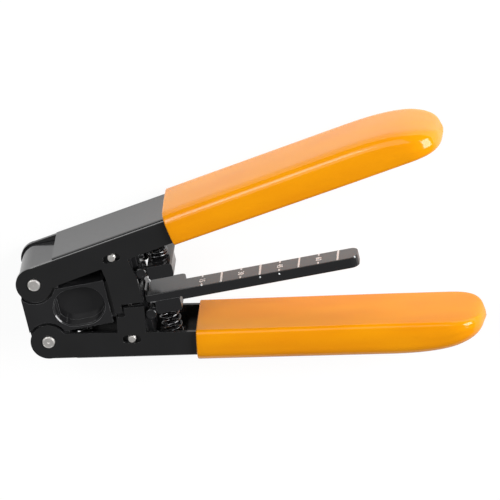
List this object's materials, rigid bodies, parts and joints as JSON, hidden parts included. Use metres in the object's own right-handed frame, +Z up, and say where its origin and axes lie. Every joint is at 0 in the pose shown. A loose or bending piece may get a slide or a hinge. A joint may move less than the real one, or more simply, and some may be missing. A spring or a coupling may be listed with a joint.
{
  "type": "fibre stripper",
  "caption": "Hand stripper for fibre drop cable: two sprung lever handles with dipped grips, twin blades, clamp pads and a measuring bar.",
  "frame": {"origin": "under the middle of the tool's box, on the face it lies on", "axes": "+X along the cable from the nose to the grips, +Y towards the upper handle, +Z up through the width of the tool"},
  "size_m": [0.1708, 0.091, 0.0308],
  "materials": {
    "black_paint": "glossy black stove paint over pressed steel",
    "black_casting": "glossy black paint over a casting",
    "orange_vinyl": "glossy dipped vinyl",
    "pin_steel": "turned and flushed steel",
    "blade_steel": "ground steel",
    "spring_steel": "blackened spring wire",
    "black_fitting": "satin black fitting",
    "bar_black": "black painted bar with white scale"
  },
  "bodies": {
    "head": {"head_frame": "black_casting", "guide_posts": "pin_steel", "upper_pivot_pin": "pin_steel", "lower_pivot_pin": "pin_steel", "upper_return_spring": "spring_steel", "lower_return_spring": "spring_steel"},
    "upper_lever": {"upper_lever": "black_paint", "upper_grip": "orange_vinyl", "upper_spring_peg": "pin_steel"},
    "upper_jaw": {"upper_blade_holder": "black_fitting", "upper_blade": "blade_steel", "upper_drive_pin": "pin_steel", "upper_pad_pins": "black_fitting"},
    "upper_pad": {"upper_pad": "black_fitting", "upper_pad_spring": "spring_steel"},
    "lower_lever": {"lower_lever": "black_paint", "lower_grip": "orange_vinyl", "lower_spring_peg": "pin_steel"},
    "lower_jaw": {"lower_blade_holder": "black_fitting", "lower_blade": "blade_steel", "lower_drive_pin": "pin_steel", "lower_pad_pins": "black_fitting"},
    "lower_pad": {"lower_pad": "black_fitting", "lower_pad_spring": "spring_steel", "measuring_bar": "bar_black"}
  },
  "joints": [
    {"name": "upper_lever_hinge", "type": "hinge", "parent": "head", "child": "upper_lever", "pos_m": [-0.0785, 0.0121, 0.0154], "axis": [0, 0, -1], "range_deg": [0, 1.2], "stiffness_Nm_per_rad": 0.47, "deforming": ["upper_return_spring", "upper_pad_spring"]},
    {"name": "lower_lever_hinge", "type": "hinge", "parent": "head", "child": "lower_lever", "pos_m": [-0.0785, -0.0121, 0.0154], "axis": [0, 0, -1], "range_deg": [-1.2, 0], "stiffness_Nm_per_rad": 0.47, "deforming": ["lower_return_spring", "lower_pad_spring"]},
    {"name": "upper_jaw_slide", "type": "slide", "parent": "head", "child": "upper_jaw", "axis": [0, -1, 0], "range_m": [0, 0.00066]},
    {"name": "lower_jaw_slide", "type": "slide", "parent": "head", "child": "lower_jaw", "axis": [0, 1, 0], "range_m": [0, 0.00066]},
    {"name": "upper_pad_hinge", "type": "hinge", "parent": "upper_jaw", "child": "upper_pad", "pos_m": [-0.0381, 0.0078, 0.0154], "axis": [0, 0, 1], "range_deg": [0, 4], "stiffness_Nm_per_rad": 0.1},
    {"name": "lower_pad_hinge", "type": "hinge", "parent": "lower_jaw", "child": "lower_pad", "pos_m": [-0.0381, -0.0094, 0.0154], "axis": [0, 0, -1], "range_deg": [0, 4], "stiffness_Nm_per_rad": 0.1}
  ],
  "couplings": [
    {"joint": "lower_lever_hinge", "follows": "upper_lever_hinge", "ratio": -1},
    {"joint": "upper_jaw_slide", "follows": "upper_lever_hinge", "m_per_rad": 0.0313},
    {"joint": "lower_jaw_slide", "follows": "upper_lever_hinge", "m_per_rad": 0.0313}
  ]
}
